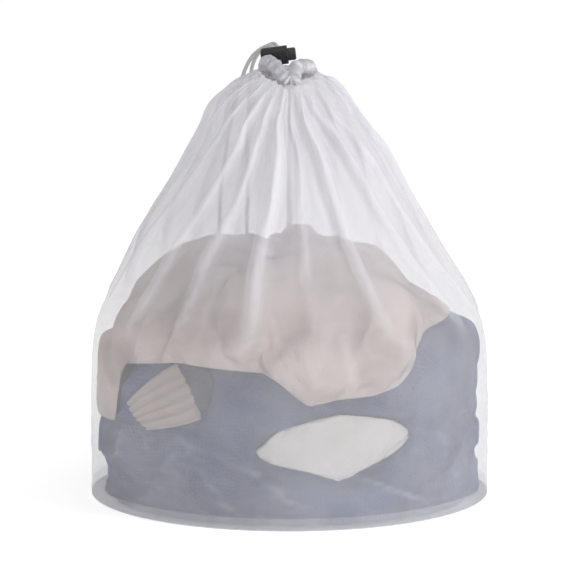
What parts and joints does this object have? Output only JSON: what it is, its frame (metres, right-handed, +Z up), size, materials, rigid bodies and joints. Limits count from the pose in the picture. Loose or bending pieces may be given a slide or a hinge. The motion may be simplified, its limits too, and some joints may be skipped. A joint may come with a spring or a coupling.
{
  "type": "mesh laundry bag",
  "caption": "Round-bottomed fine-mesh drawstring laundry bag, drawn shut round a load of clothes, with a gathered neck, a white drawcord and a black sprung cord lock.",
  "frame": {"origin": "centre of the round base, on the surface that the bag stands on", "axes": "+Z up through the bag to its gathered neck; -Y is the front, where the folds of the neck face; +X is to the right of someone facing the front"},
  "size_m": [0.3183, 0.338, 0.3594],
  "materials": {
    "fine_mesh": "matte",
    "base_mesh": "matte",
    "binding_tape": "matte",
    "channel_cloth": "matte",
    "seam_thread": "satin",
    "cord": "matte",
    "lock_plastic": "satin",
    "button_plastic": "satin",
    "spring_steel": "satin",
    "blue_knit": "matte",
    "cream_jersey": "matte",
    "white_cotton": "matte",
    "cream_rib": "matte",
    "grey_knit": "matte"
  },
  "bodies": {
    "bag": {"side_wall_mesh": "fine_mesh", "base_mesh_panel": "base_mesh", "base_binding": "binding_tape", "side_seam": "binding_tape", "drawcord_channel": "channel_cloth", "channel_buttonhole": "seam_thread", "drawcord_neck_loop": "cord", "drawcord_tail_left": "cord", "drawcord_tail_right": "cord", "cord_knot_left": "cord", "cord_knot_right": "cord", "blue_sweater": "blue_knit", "cream_shirt": "cream_jersey", "white_sleeve": "white_cotton", "ribbed_cuff": "cream_rib", "grey_sock": "grey_knit"},
    "cord_lock": {"lock_barrel": "lock_plastic", "lock_spring": "spring_steel"},
    "lock_button": {"lock_button": "button_plastic"}
  },
  "joints": [
    {"name": "lock_slide", "type": "slide", "parent": "bag", "child": "cord_lock", "axis": [-0.0673, 0.8609, 0.5042], "range_m": [0, 0.004]},
    {"name": "button_press", "type": "slide", "parent": "cord_lock", "child": "lock_button", "axis": [-0.9912, 0, -0.1323], "range_m": [0, 0.0045], "stiffness_N_per_m": 600, "springref_m": -0.002, "deforming": ["lock_spring"]}
  ]
}
